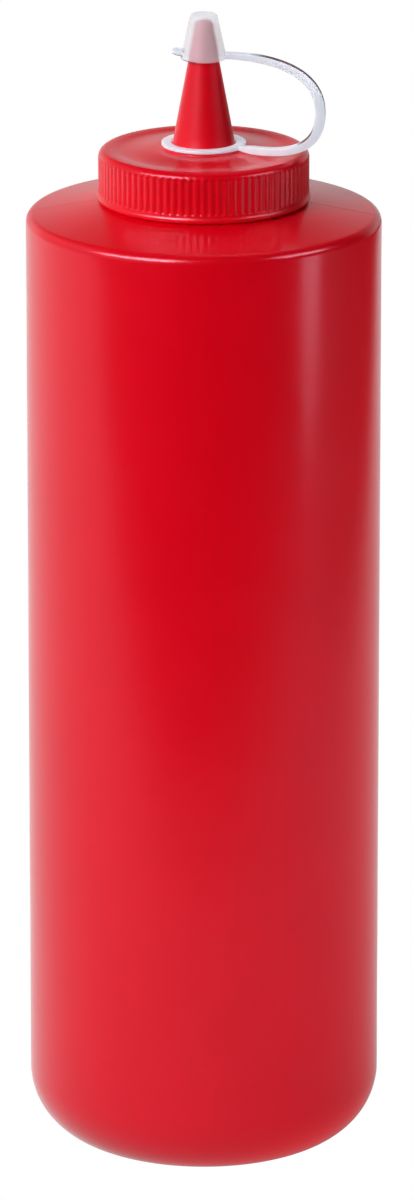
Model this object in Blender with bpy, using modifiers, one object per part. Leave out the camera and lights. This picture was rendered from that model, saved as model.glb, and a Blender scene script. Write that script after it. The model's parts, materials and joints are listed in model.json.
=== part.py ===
"""Condiment squeeze bottle: a red bottle, a ribbed screw cap with a nozzle, and a milky tip cap on a strap.

Metres, +Z up. The origin is the centre of the base. The strap loops out on the +X side, and the bottle's
front, where the strap's lower end lies, is on the -Y side. Three pieces come apart: bottle, screw_cap
and tip_cap. The shut bottle can't be seen into, so its body is solid.
"""

import math

import bmesh
import bpy
from mathutils import Matrix, Vector

# Between pieces that touch on the real bottle.
GAP = 0.0003

# The bottle: a straight tube with a wide round heel and a shallow cone for a shoulder.
BODY_RADIUS = 0.035
SIDE_TOP_Z = 0.1894
SHOULDER_ROUND = 0.0019
SHOULDER_SLOPE = math.radians(10.5)
HEEL_ROUND = 0.0138
FOOT_INNER_RADIUS = 0.0165
PUSH_UP_RADIUS = 0.0135
PUSH_UP_HEIGHT = 0.0015
NECK_TOP_Z = 0.2000
BODY_STEPS = 72

# The screw cap: a ribbed skirt with a bead at its foot, and a dished top inside a low rim.
CAP_RADIUS = 0.02075
CAP_TOP_Z = 0.2040
CAP_EDGE_ROUND = 0.0016
CAP_BORE_RADIUS = 0.0188
DISH_DEPTH = 0.0005
DISH_RADIUS = 0.0168
DISH_STEP = 0.0009
BEAD_RADIUS = 0.02095
BEAD_ROUND = 0.0007
RIB_COUNT = 88
RIB_DEPTH = 0.00038
RIB_FOOT_Z = 0.1954

# The nozzle is a straight cone that stands on a low boss in the middle of the cap.
BOSS_RADIUS = 0.0086
BOSS_TOP_Z = 0.2045
BOSS_ROUND = 0.0003
NOZZLE_BASE_RADIUS = 0.00626
NOZZLE_TIP_Z = 0.2296
NOZZLE_TAPER = 0.1873
NOZZLE_TIP_ROUND = 0.0008

# The tip cap: a hollow cone over the nozzle, with a short lip round its mouth.
TIP_TOP_Z = 0.2311
TIP_TOP_RADIUS = 0.00280
TIP_TOP_ROUND = 0.0008
TIP_MOUTH_Z = 0.22215
TIP_WALL_FOOT_RADIUS = 0.00438
LIP_RADIUS = 0.00452
LIP_HEIGHT = 0.0007
TIP_STEPS = 40

# The lift tab points left and a little back, and is bent up.
TAB_REACH = 0.0064
TAB_WIDTH = 0.0036
TAB_THICKNESS = 0.0009
TAB_AZIMUTH = math.radians(170)
TAB_LIFT = math.radians(8)

# The ring lies on the boss round the nozzle's foot.
RING_INNER_RADIUS = 0.0065
RING_OUTER_RADIUS = 0.0083
RING_THICKNESS = 0.0007
RING_EDGE = 0.00015

# The strap leaves the ring forward of +X, bows out and comes back to the tip cap's mouth.
STRAP_DEPTH = 0.0020
STRAP_THICKNESS = 0.0015
STRAP_BOW_THICKNESS = 0.0020
STRAP_RING_THICKNESS = 0.0007
STRAP_MOUTH_THICKNESS = 0.0012
STRAP_EDGE = 0.00025
STRAP_RING_AZIMUTH = math.radians(-30)
STRAP_BOW = Vector((0.02275, -0.0070, 0.2129))
STRAP_RING_HANDLE = Vector((0.0111, -0.0051, -0.0010))
STRAP_LOW_HANDLE = Vector((0.0, -0.0011, -0.0068))
STRAP_HIGH_HANDLE = Vector((0.0, 0.0008, 0.0079))
STRAP_MOUTH_HANDLE = Vector((0.0100, -0.0010, 0.0))
STRAP_HALF_STATIONS = 18


def clear_scene():
    """Removes whatever the file opens with."""
    for old in list(bpy.data.objects):
        bpy.data.objects.remove(old, do_unlink=True)


def new_collection(name):
    """A collection under the scene's own."""
    collection = bpy.data.collections.new(name)
    bpy.context.scene.collection.children.link(collection)
    return collection


def plastic(name, colour, roughness, alpha=1.0):
    """A moulded plastic with one colour."""
    material = bpy.data.materials.new(name)
    material.use_nodes = True
    shader = material.node_tree.nodes["Principled BSDF"]
    shader.inputs["Base Color"].default_value = (*colour, 1.0)
    shader.inputs["Roughness"].default_value = roughness
    shader.inputs["Metallic"].default_value = 0.0
    shader.inputs["Alpha"].default_value = alpha
    return material


def arc(centre_r, centre_z, radius, start, end, count):
    """Points of a circular arc in the profile plane, from one angle in degrees to another."""
    angles = [math.radians(start + (end - start) * i / (count - 1)) for i in range(count)]
    return [(centre_r + radius * math.cos(a), centre_z + radius * math.sin(a)) for a in angles]


def turned(name, profile, steps, collection):
    """Turns a profile of (radius, height) points, top to bottom on its outer side, about Z."""
    mesh = bpy.data.meshes.new(name)
    points = [(r, 0.0, z) for r, z in profile]
    mesh.from_pydata(points, [(i, i + 1) for i in range(len(points) - 1)], [])
    obj = bpy.data.objects.new(name, mesh)
    collection.objects.link(obj)
    screw = obj.modifiers.new("turn", "SCREW")
    screw.axis = "Z"
    screw.steps = steps
    screw.render_steps = steps
    screw.use_merge_vertices = True
    screw.merge_threshold = 0.00001
    return obj


def shade_round(obj):
    """Smooth shading that keeps the sharp edges."""
    obj.data.shade_smooth()
    obj.data.set_sharp_from_angle(angle=math.radians(35))


def shoulder_z(radius):
    """Height of the shoulder's cone at a radius."""
    joint_r = BODY_RADIUS - SHOULDER_ROUND + SHOULDER_ROUND * math.sin(SHOULDER_SLOPE)
    joint_z = SIDE_TOP_Z + SHOULDER_ROUND * math.cos(SHOULDER_SLOPE)
    return joint_z + (joint_r - radius) * math.tan(SHOULDER_SLOPE)


def nozzle_radius(z):
    """Radius of the nozzle's cone at a height."""
    return NOZZLE_BASE_RADIUS - NOZZLE_TAPER * (z - BOSS_TOP_Z)


def make_bottle(collection):
    """The blow-moulded body: neck, shoulder, side, heel and a base with a shallow push-up."""
    neck_radius = CAP_BORE_RADIUS - GAP
    profile = [(0.0, NECK_TOP_Z), (neck_radius, NECK_TOP_Z), (neck_radius, shoulder_z(neck_radius))]
    shoulder_start = 90 - math.degrees(SHOULDER_SLOPE)
    profile += arc(BODY_RADIUS - SHOULDER_ROUND, SIDE_TOP_Z, SHOULDER_ROUND, shoulder_start, 0, 6)
    profile += arc(BODY_RADIUS - HEEL_ROUND, HEEL_ROUND, HEEL_ROUND, 0, -90, 12)
    profile += [(FOOT_INNER_RADIUS, 0.0), (PUSH_UP_RADIUS, PUSH_UP_HEIGHT), (0.0, PUSH_UP_HEIGHT)]
    bottle = turned("bottle", profile, BODY_STEPS, collection)
    bottle.data.materials.append(plastic("red_bottle_plastic", (0.62, 0.008, 0.028), 0.38))
    return bottle


def make_cap_body(collection):
    """The screw cap before its ribs: nozzle, boss, dished top, skirt, foot bead and a plain bore."""
    lean = math.degrees(math.atan(NOZZLE_TAPER))
    tip_z = NOZZLE_TIP_Z - NOZZLE_TIP_ROUND
    tip_r = nozzle_radius(tip_z) - NOZZLE_TIP_ROUND / math.cos(math.radians(lean))
    dish_z = CAP_TOP_Z - DISH_DEPTH
    edge_r = CAP_RADIUS - CAP_EDGE_ROUND
    bead_r = BEAD_RADIUS - BEAD_ROUND
    bead_z = shoulder_z(BEAD_RADIUS) + GAP + BEAD_ROUND
    bore_top = NECK_TOP_Z + GAP
    profile = [(0.0, NOZZLE_TIP_Z)]
    profile += arc(tip_r, tip_z, NOZZLE_TIP_ROUND, 90, lean, 5)
    profile += [(NOZZLE_BASE_RADIUS, BOSS_TOP_Z)]
    profile += arc(BOSS_RADIUS - BOSS_ROUND, BOSS_TOP_Z - BOSS_ROUND, BOSS_ROUND, 90, 0, 3)
    profile += [(BOSS_RADIUS, dish_z), (DISH_RADIUS, dish_z), (DISH_RADIUS + DISH_STEP, CAP_TOP_Z)]
    profile += arc(edge_r, CAP_TOP_Z - CAP_EDGE_ROUND, CAP_EDGE_ROUND, 90, 0, 5)
    profile += [(CAP_RADIUS, bead_z + BEAD_ROUND)]
    profile += arc(bead_r, bead_z, BEAD_ROUND, 40, -60, 5)
    profile += [(CAP_BORE_RADIUS, shoulder_z(CAP_BORE_RADIUS) + GAP)]
    profile += [(CAP_BORE_RADIUS, bore_top), (0.0, bore_top)]
    return turned("screw_cap", profile, RIB_COUNT, collection)


def make_rib_cutter(collection):
    """A ring round the cap whose wavy inner wall cuts the valleys between the ribs."""
    crest = CAP_RADIUS + RIB_DEPTH * 0.7
    valley = CAP_RADIUS - RIB_DEPTH
    waves = [crest, (crest + valley) / 2, valley, (crest + valley) / 2]
    count = RIB_COUNT * len(waves)
    outer_radius = CAP_RADIUS * 1.1
    outlines = [
        [(waves[i % len(waves)], math.tau * i / count) for i in range(count)],
        [(outer_radius, math.tau * i / RIB_COUNT) for i in range(RIB_COUNT)],
    ]
    curve = bpy.data.curves.new("rib_cutter", "CURVE")
    curve.dimensions = "2D"
    curve.fill_mode = "BOTH"
    for outline in outlines:
        spline = curve.splines.new("POLY")
        spline.points.add(len(outline) - 1)
        for point, (radius, angle) in zip(spline.points, outline):
            point.co = (radius * math.cos(angle), radius * math.sin(angle), 0.0, 1.0)
        spline.use_cyclic_u = True
    top_z = CAP_TOP_Z + CAP_EDGE_ROUND
    curve.extrude = (top_z - RIB_FOOT_Z) / 2
    shape = bpy.data.objects.new("rib_cutter_curve", curve)
    collection.objects.link(shape)
    shape.location.z = (top_z + RIB_FOOT_Z) / 2
    cutter = as_mesh(shape, "rib_cutter", collection)
    cutter.hide_render = True
    cutter.display_type = "WIRE"
    return cutter


def as_mesh(shape, name, collection):
    """Turns a curve object into a welded mesh object in the same place, and removes the curve."""
    bpy.context.view_layer.update()
    placed = shape.matrix_world.copy()
    evaluated = shape.evaluated_get(bpy.context.evaluated_depsgraph_get())
    mesh = bpy.data.meshes.new_from_object(evaluated)
    bm = bmesh.new()
    bm.from_mesh(mesh)
    bmesh.ops.remove_doubles(bm, verts=bm.verts, dist=0.000001)
    bm.to_mesh(mesh)
    bm.free()
    obj = bpy.data.objects.new(name, mesh)
    obj.matrix_world = placed
    collection.objects.link(obj)
    bpy.data.objects.remove(shape, do_unlink=True)
    return obj


def make_screw_cap(collection, cutters):
    """The screw cap with its ribs, in one moulding with the nozzle."""
    cap = make_cap_body(collection)
    cut = cap.modifiers.new("ribs", "BOOLEAN")
    cut.operation = "DIFFERENCE"
    cut.solver = "EXACT"
    cut.object = make_rib_cutter(cutters)
    cap.data.materials.append(plastic("red_cap_plastic", (0.66, 0.006, 0.026), 0.33))
    return cap


def make_tip_cone(collection):
    """The hollow cone that covers the nozzle's end, closed at the top and open at its mouth."""
    bore_top = NOZZLE_TIP_Z + GAP
    knee_z = NOZZLE_TIP_Z - NOZZLE_TIP_ROUND / 2
    knee_r = nozzle_radius(knee_z) + GAP
    roof_r = knee_r - NOZZLE_TIP_ROUND * 0.8
    lip_top = TIP_MOUTH_Z + LIP_HEIGHT
    profile = [(0.0, TIP_TOP_Z)]
    profile += arc(TIP_TOP_RADIUS - TIP_TOP_ROUND, TIP_TOP_Z - TIP_TOP_ROUND, TIP_TOP_ROUND, 90, 12, 5)
    profile += [(TIP_WALL_FOOT_RADIUS, lip_top), (LIP_RADIUS, lip_top), (LIP_RADIUS, TIP_MOUTH_Z)]
    profile += [(nozzle_radius(TIP_MOUTH_Z) + GAP, TIP_MOUTH_Z), (knee_r, knee_z)]
    profile += [(roof_r, bore_top), (0.0, bore_top)]
    return turned("tip_cap", profile, TIP_STEPS, collection)


def make_ring(collection):
    """The flat ring round the nozzle's foot, with its outer and inner edges eased."""
    low = BOSS_TOP_Z + GAP
    high = low + RING_THICKNESS
    inner, outer, ease = RING_INNER_RADIUS, RING_OUTER_RADIUS, RING_EDGE
    profile = [(inner + ease, high), (outer - ease, high), (outer, high - ease), (outer, low + ease)]
    profile += [(outer - ease, low), (inner + ease, low), (inner, low + ease), (inner, high - ease)]
    profile += [profile[0]]
    return turned("ring", profile, TIP_STEPS, collection)


def make_tab(collection):
    """The lift tab: a round-ended tongue on the lip, bent up at its end."""
    end_radius = TAB_WIDTH / 2
    centre_x = TAB_REACH - end_radius
    root_x = LIP_RADIUS * 0.85
    outline = arc(centre_x, 0.0, end_radius, -90, 90, 13)
    outline += [(root_x, end_radius), (root_x, -end_radius)]
    curve = bpy.data.curves.new("tab", "CURVE")
    curve.dimensions = "2D"
    curve.fill_mode = "BOTH"
    curve.extrude = TAB_THICKNESS / 2
    spline = curve.splines.new("POLY")
    spline.points.add(len(outline) - 1)
    for point, (x, y) in zip(spline.points, outline):
        point.co = (x, y, 0.0, 1.0)
    spline.use_cyclic_u = True
    shape = bpy.data.objects.new("tab_curve", curve)
    collection.objects.link(shape)
    lift = Matrix.Rotation(-TAB_LIFT, 4, "Y")
    turn = Matrix.Rotation(TAB_AZIMUTH, 4, "Z")
    place = Matrix.Translation((0.0, 0.0, TIP_MOUTH_Z + TAB_THICKNESS / 2))
    shape.matrix_world = place @ turn @ lift
    return as_mesh(shape, "tab", collection)


def bezier(p0, p1, p2, p3, count):
    """Points and unit tangents along a cubic Bezier piece."""
    stations = []
    for i in range(count):
        t = i / (count - 1)
        s = 1 - t
        point = p0 * s**3 + p1 * (3 * s * s * t) + p2 * (3 * s * t * t) + p3 * t**3
        tangent = (p1 - p0) * (s * s) + (p2 - p1) * (2 * s * t) + (p3 - p2) * (t * t)
        stations.append((point, tangent.normalized()))
    return stations


def strap_path():
    """The strap's centre line, from inside the ring, out to the bow and back into the lip."""
    ring_middle_radius = (RING_INNER_RADIUS + RING_OUTER_RADIUS) / 2
    ring_z = BOSS_TOP_Z + GAP + RING_THICKNESS / 2
    start_x = ring_middle_radius * math.cos(STRAP_RING_AZIMUTH)
    start_y = ring_middle_radius * math.sin(STRAP_RING_AZIMUTH)
    start = Vector((start_x, start_y, ring_z))
    end = Vector((LIP_RADIUS * 0.88, 0.0, TIP_MOUTH_Z + STRAP_MOUTH_THICKNESS / 2))
    low_handles = (start + STRAP_RING_HANDLE, STRAP_BOW + STRAP_LOW_HANDLE)
    high_handles = (STRAP_BOW + STRAP_HIGH_HANDLE, end + STRAP_MOUTH_HANDLE)
    low = bezier(start, *low_handles, STRAP_BOW, STRAP_HALF_STATIONS)
    high = bezier(STRAP_BOW, *high_handles, end, STRAP_HALF_STATIONS)
    return low + high[1:]


def smooth_step(share):
    """Goes from 0 to 1 with level ends."""
    share = max(0.0, min(1.0, share))
    return share * share * (3 - 2 * share)


def strap_thickness(t):
    """Thickness at a share of the length: thin at the ring, thickest at the bow, less again at the mouth."""
    bow = math.sin(math.pi * t) ** 4
    full = STRAP_THICKNESS + (STRAP_BOW_THICKNESS - STRAP_THICKNESS) * bow
    from_ring = smooth_step(t / 0.10)
    from_mouth = smooth_step((1 - t) / 0.15)
    full += (STRAP_RING_THICKNESS - full) * (1 - from_ring)
    return full + (STRAP_MOUTH_THICKNESS - full) * (1 - from_mouth)


def make_strap(collection):
    """The strap, lofted: an eased rectangle that faces -Y and grows from the thin ring to its bow."""
    path = strap_path()
    bm = bmesh.new()
    rings = []
    for i, (point, tangent) in enumerate(path):
        inward = Vector((0.0, -1.0, 0.0)).cross(tangent).normalized()
        front = tangent.cross(inward)
        half_t = strap_thickness(i / (len(path) - 1)) / 2
        half_d = STRAP_DEPTH / 2
        cut_t, cut_d = half_t - STRAP_EDGE, half_d - STRAP_EDGE
        corners = [(half_t, cut_d), (cut_t, half_d), (-cut_t, half_d), (-half_t, cut_d)]
        corners += [(-half_t, -cut_d), (-cut_t, -half_d), (cut_t, -half_d), (half_t, -cut_d)]
        rings.append([bm.verts.new(point + inward * a + front * b) for a, b in corners])
    for ring, following in zip(rings, rings[1:]):
        for j in range(len(ring)):
            k = (j + 1) % len(ring)
            bm.faces.new((ring[j], ring[k], following[k], following[j]))
    bm.faces.new(rings[0])
    bm.faces.new(rings[-1])
    bmesh.ops.recalc_face_normals(bm, faces=bm.faces)
    mesh = bpy.data.meshes.new("strap")
    bm.to_mesh(mesh)
    bm.free()
    strap = bpy.data.objects.new("strap", mesh)
    collection.objects.link(strap)
    return strap


def make_tip_cap(collection):
    """The tip cap, strap and ring as the one moulding they are."""
    joined = new_collection("tip_cap_shapes")
    cone = make_tip_cone(collection)
    make_ring(joined)
    make_tab(joined)
    make_strap(joined)
    union = cone.modifiers.new("join", "BOOLEAN")
    union.operation = "UNION"
    union.solver = "EXACT"
    union.operand_type = "COLLECTION"
    union.collection = joined
    bpy.context.view_layer.update()
    evaluated = cone.evaluated_get(bpy.context.evaluated_depsgraph_get())
    mesh = bpy.data.meshes.new_from_object(evaluated)
    cone.modifiers.clear()
    cone.data = mesh
    for shape in list(joined.objects):
        bpy.data.objects.remove(shape, do_unlink=True)
    bpy.data.collections.remove(joined)
    cone.data.materials.clear()
    cone.data.materials.append(plastic("milky_tip_plastic", (0.76, 0.77, 0.80), 0.42, 0.6))
    shade_round(cone)
    return cone


def main():
    """Builds the bottle and its two caps."""
    clear_scene()
    parts = new_collection("condiment_squeeze_bottle")
    cutters = new_collection("cutters")
    make_bottle(parts)
    make_screw_cap(parts, cutters)
    make_tip_cap(parts)


main()
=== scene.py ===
"""The condiment squeeze bottle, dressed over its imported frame.

Three pieces stand for the three solids: the blow-moulded bottle, the moulded screw cap with its
nozzle, and the milky tip cap with its strap and ring. Lengths are in metres, +Z is up, the front is
-Y and the strap bows out towards +X.
"""

import json
import logging
import math
from collections.abc import Sequence
from dataclasses import dataclass
from enum import Enum

import bpy
import numpy as np
from numpy.typing import NDArray
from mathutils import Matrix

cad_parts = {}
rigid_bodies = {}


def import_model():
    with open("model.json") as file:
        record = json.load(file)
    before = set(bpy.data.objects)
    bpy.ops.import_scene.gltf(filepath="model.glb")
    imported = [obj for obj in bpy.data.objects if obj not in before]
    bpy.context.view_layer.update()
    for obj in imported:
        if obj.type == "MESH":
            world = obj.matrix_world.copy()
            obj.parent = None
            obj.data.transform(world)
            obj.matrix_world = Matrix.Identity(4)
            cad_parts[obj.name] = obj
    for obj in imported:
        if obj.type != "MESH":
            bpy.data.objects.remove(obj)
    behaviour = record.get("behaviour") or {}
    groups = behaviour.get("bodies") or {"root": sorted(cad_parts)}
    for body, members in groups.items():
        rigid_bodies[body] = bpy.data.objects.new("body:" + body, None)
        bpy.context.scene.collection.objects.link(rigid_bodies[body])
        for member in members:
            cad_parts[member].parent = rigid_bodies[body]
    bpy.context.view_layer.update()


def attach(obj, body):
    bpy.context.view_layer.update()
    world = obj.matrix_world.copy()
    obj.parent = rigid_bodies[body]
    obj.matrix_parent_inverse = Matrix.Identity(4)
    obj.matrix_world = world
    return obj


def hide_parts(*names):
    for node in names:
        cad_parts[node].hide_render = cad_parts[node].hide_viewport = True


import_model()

Array = NDArray[np.float64]
Colour = tuple[float, float, float, float]
Socket = bpy.types.NodeSocket
LOG = logging.getLogger("squeeze_bottle")
# The point attribute that says how much painted shade darkens the milky edges.
PAINTED_SHADE_ATTRIBUTE = "painted_shade_amount"
MM = 0.001
# The clearance that every piece keeps from its neighbour.
GAP = 0.0003
# Edges that turn by more than this stay sharp.
FOLD = math.radians(35)


class SeenBy(Enum):
    """Which rays meet a part of the studio."""

    CAMERA = "camera"
    MIRRORED = "mirrored"
    SCATTERED = "scattered"


def linear(hex_colour: str) -> Colour:
    """Turns an sRGB hex colour into the linear colour, with an alpha of 1, that the shaders take."""
    digits = hex_colour.lstrip("#")
    parts = np.array([int(digits[i : i + 2], 16) for i in (0, 2, 4)]) / 255
    red, green, blue = np.where(parts <= 0.04045, parts / 12.92, ((parts + 0.055) / 1.055) ** 2.4)
    return (float(red), float(green), float(blue), 1.0)


def add_node(tree: bpy.types.NodeTree, kind: str, settings: dict, links: dict) -> bpy.types.Node:
    """Adds one node with its settings and its incoming links.

    Args:
        tree: The node tree that gets the node.
        kind: The node's type name.
        settings: Values by name. A name that is an input socket's sets that socket, and any other
            sets the node's own property.
        links: Outgoing sockets by the name or index of the input that each one feeds.

    Returns:
        The new node.
    """
    node = tree.nodes.new(kind)
    for key, value in settings.items():
        if isinstance(key, int) or key in node.inputs:
            node.inputs[key].default_value = value
        else:
            setattr(node, key, value)
    for key, source in links.items():
        tree.links.new(source, node.inputs[key])
    return node


def new_material(name: str) -> tuple[bpy.types.Material, bpy.types.Node, Socket]:
    """Makes an empty node material with its output.

    Args:
        name: The material's name.

    Returns:
        The material, its output node and the Object coordinates' socket.
    """
    material = bpy.data.materials.new(name)
    material.use_nodes = True
    material.node_tree.nodes.clear()
    output = add_node(material.node_tree, "ShaderNodeOutputMaterial", {}, {})
    place = add_node(material.node_tree, "ShaderNodeTexCoord", {}, {})
    return material, output, place.outputs["Object"]


def smooth(value: Array | float, low: float, high: float) -> Array:
    """Smooth step: 0 below low, 1 above high, and level at both ends between them."""
    share = np.clip((np.asarray(value, float) - low) / (high - low), 0, 1)
    return share * share * (3 - 2 * share)


def arc(centre: Sequence[float], radius: float, start: float, end: float, count: int) -> Array:
    """Points on a circle from one angle to another in degrees: centre + radius (cos a, sin a)."""
    angles = np.radians(np.linspace(start, end, count))
    return np.column_stack((centre[0] + radius * np.cos(angles), centre[1] + radius * np.sin(angles)))


def line(start: Sequence[float], end: Sequence[float], count: int) -> Array:
    """Evenly spaced points of a straight line, without its two ends."""
    share = np.linspace(0, 1, count + 2)[1:-1, None]
    return np.asarray(start) * (1 - share) + np.asarray(end) * share


def profile_normals(profile: Array) -> Array:
    """The unit normal on the right of the way along a profile: (dz, -dr) over its length."""
    way = np.gradient(profile, axis=0)
    normal = np.column_stack((way[:, 1], -way[:, 0]))
    return normal / np.maximum(np.linalg.norm(normal, axis=1, keepdims=True), 1e-12)


def lathe_points(radii: Array, heights: Array, azimuths: Array) -> Array:
    """Points of a turned surface: (r cos a, r sin a, z) for each profile row and azimuth column."""
    return np.stack((radii * np.cos(azimuths), radii * np.sin(azimuths), heights), axis=-1)


def even_azimuths(count: int) -> Array:
    """Even angles all round, in radians."""
    return np.arange(count) * math.tau / count


def turned(profile: Array, columns: int) -> Array:
    """Points of a profile of (radius, height) that is turned in even steps, rows by columns by 3."""
    radii, heights = (np.repeat(part, columns, axis=1) for part in (profile[:, :1], profile[:, 1:]))
    return lathe_points(radii, heights, even_azimuths(columns))


def grid_faces(rows: int, columns: int) -> Array:
    """Quads of a grid that closes on itself sideways: each joins a cell's four corners in turn."""
    row, column = np.meshgrid(np.arange(rows - 1), np.arange(columns), indexing="ij")
    along = (column + 1) % columns
    corners = (row * columns + column, row * columns + along)
    corners += ((row + 1) * columns + along, (row + 1) * columns + column)
    return np.stack(corners, axis=-1).reshape(-1, 4)


def mesh_object(name: str, points: Array, faces: list) -> bpy.types.Object:
    """Makes a mesh object at the origin, smooth apart from its sharp folds.

    Args:
        name: Name of the object and its mesh.
        points: Vertices, n by 3.
        faces: Index lists.

    Returns:
        The object, linked to the scene.
    """
    mesh = bpy.data.meshes.new(name)
    mesh.from_pydata(points.tolist(), [], faces)
    mesh.update()
    mesh.shade_smooth()
    mesh.set_sharp_from_angle(angle=FOLD)
    obj = bpy.data.objects.new(name, mesh)
    bpy.context.scene.collection.objects.link(obj)
    return obj


def capped_lathe(name: str, points: Array) -> bpy.types.Object:
    """A closed turned body: its first and last rows are poles, each one vertex with a fan round it.

    Args:
        name: Name of the object.
        points: Rows by columns by 3, whose first and last rows lie on the axis.

    Returns:
        The object.
    """
    rows, columns = points.shape[:2]
    inner = points[1:-1].reshape(-1, 3)
    bottom, top = len(inner), len(inner) + 1
    flat = np.vstack((inner, points[0].mean(0), points[-1].mean(0)))
    column = np.arange(columns)
    along = (column + 1) % columns
    last = (rows - 3) * columns
    low_fan = np.column_stack((np.full(columns, bottom), along, column))
    high_fan = np.column_stack((np.full(columns, top), last + column, last + along))
    faces = grid_faces(rows - 2, columns).tolist() + low_fan.tolist() + high_fan.tolist()
    return mesh_object(name, flat, faces)


def ring_lathe(name: str, points: Array) -> bpy.types.Object:
    """A closed turned ring: the last row joins the first.

    Args:
        name: Name of the object.
        points: Rows by columns by 3, one closed section carried round the axis.

    Returns:
        The object.
    """
    rows, columns = points.shape[:2]
    closed = grid_faces(rows + 1, columns) % (rows * columns)
    return mesh_object(name, points.reshape(-1, 3), closed.tolist())


def tube(name: str, points: Array) -> bpy.types.Object:
    """A closed tube: sections carried along a path, with a flat face over each end.

    Args:
        name: Name of the object.
        points: Stations by section points by 3.

    Returns:
        The object.
    """
    stations, section = points.shape[:2]
    faces = grid_faces(stations, section).tolist()
    faces.append(list(range(section))[::-1])
    faces.append([(stations - 1) * section + i for i in range(section)])
    return mesh_object(name, points.reshape(-1, 3), faces)


@dataclass(frozen=True)
class RedPolyethylene:
    """Opaque red low-density polyethylene, moulded. It looks satin: the gloss is broken up by a
    fine grain, and slow changes of pigment and polish keep a large surface from looking flat.
    Where the mould was left matt, as on the cap's grip and nozzle, only the level top is polished."""

    name: str
    colour: str
    deep_colour: str
    roughness: float
    roughness_spread: float
    grain_mm: float
    grain_height_mm: float
    ripple_mm: float
    ripple_height_mm: float
    pigment_mm: float = 22.0
    polish_mm: float = 9.0
    polished_at: float = 0.0
    polished_mm: tuple[float, float] = (0.6, 1.5)
    matt_roughness: float = 0.0
    specular: float = 0.5
    ior: float = 1.51
    gloss_tint: str = "#FFDCFA"

    def material(self) -> bpy.types.Material:
        """Builds the material: pigment clouds, polish clouds, and a bump of ripples and grain.

        Returns:
            The node material.
        """
        material, output, place = new_material(self.name)
        tree = material.node_tree
        sizes = {
            "pigment": (self.pigment_mm, 3.0, 0.55),
            "polish": (self.polish_mm, 6.0, 0.65),
            "ripples": (self.ripple_mm, 1.0, 0.5),
            "grain": (self.grain_mm, 2.0, 0.5),
        }
        noise = {}
        for key, (size, detail, crispness) in sizes.items():
            settings = {"Scale": 1 / (size * MM), "Detail": detail, "Roughness": crispness}
            noise[key] = add_node(tree, "ShaderNodeTexNoise", settings, {"Vector": place}).outputs["Fac"]
        spread = {"From Min": 0.30, "From Max": 0.70}
        depth = add_node(tree, "ShaderNodeMapRange", spread, {"Value": noise["pigment"]})
        tones = {"data_type": "RGBA", 6: linear(self.colour), 7: linear(self.deep_colour)}
        colour = add_node(tree, "ShaderNodeMix", tones, {0: depth.outputs[0]})
        wear = {"From Min": 0.35, "From Max": 0.65, "To Min": self.roughness - self.roughness_spread}
        wear["To Max"] = self.roughness + self.roughness_spread
        polish = add_node(tree, "ShaderNodeMapRange", wear, {"Value": noise["polish"]})
        axes = add_node(tree, "ShaderNodeSeparateXYZ", {}, {0: place})
        lift = {"operation": "SUBTRACT", 1: self.polished_at}
        above = add_node(tree, "ShaderNodeMath", lift, {0: axes.outputs["Z"]})
        off = add_node(tree, "ShaderNodeMath", {"operation": "ABSOLUTE"}, {0: above.outputs[0]})
        dulling = {
            "From Min": self.polished_mm[0] * MM,
            "From Max": self.polished_mm[1] * MM,
            "To Max": max(self.matt_roughness - self.roughness, 0.0),
        }
        matt = add_node(tree, "ShaderNodeMapRange", dulling, {"Value": off.outputs[0]})
        both = {0: polish.outputs[0], 1: matt.outputs[0]}
        finish = add_node(tree, "ShaderNodeMath", {"operation": "ADD"}, both)
        links = {"Base Color": colour.outputs[2], "Roughness": finish.outputs[0]}
        normal = {}
        for key, height in (("ripples", self.ripple_height_mm), ("grain", self.grain_height_mm)):
            bump = {"Strength": 1.0, "Distance": height * MM}
            relief = add_node(tree, "ShaderNodeBump", bump, {"Height": noise[key]} | normal)
            normal = {"Normal": relief.outputs["Normal"]}
        gloss = {"IOR": self.ior, "Specular IOR Level": self.specular}
        gloss["Specular Tint"] = linear(self.gloss_tint)
        shader = add_node(tree, "ShaderNodeBsdfPrincipled", gloss, links | normal)
        tree.links.new(shader.outputs[0], output.inputs["Surface"])
        return material


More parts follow.
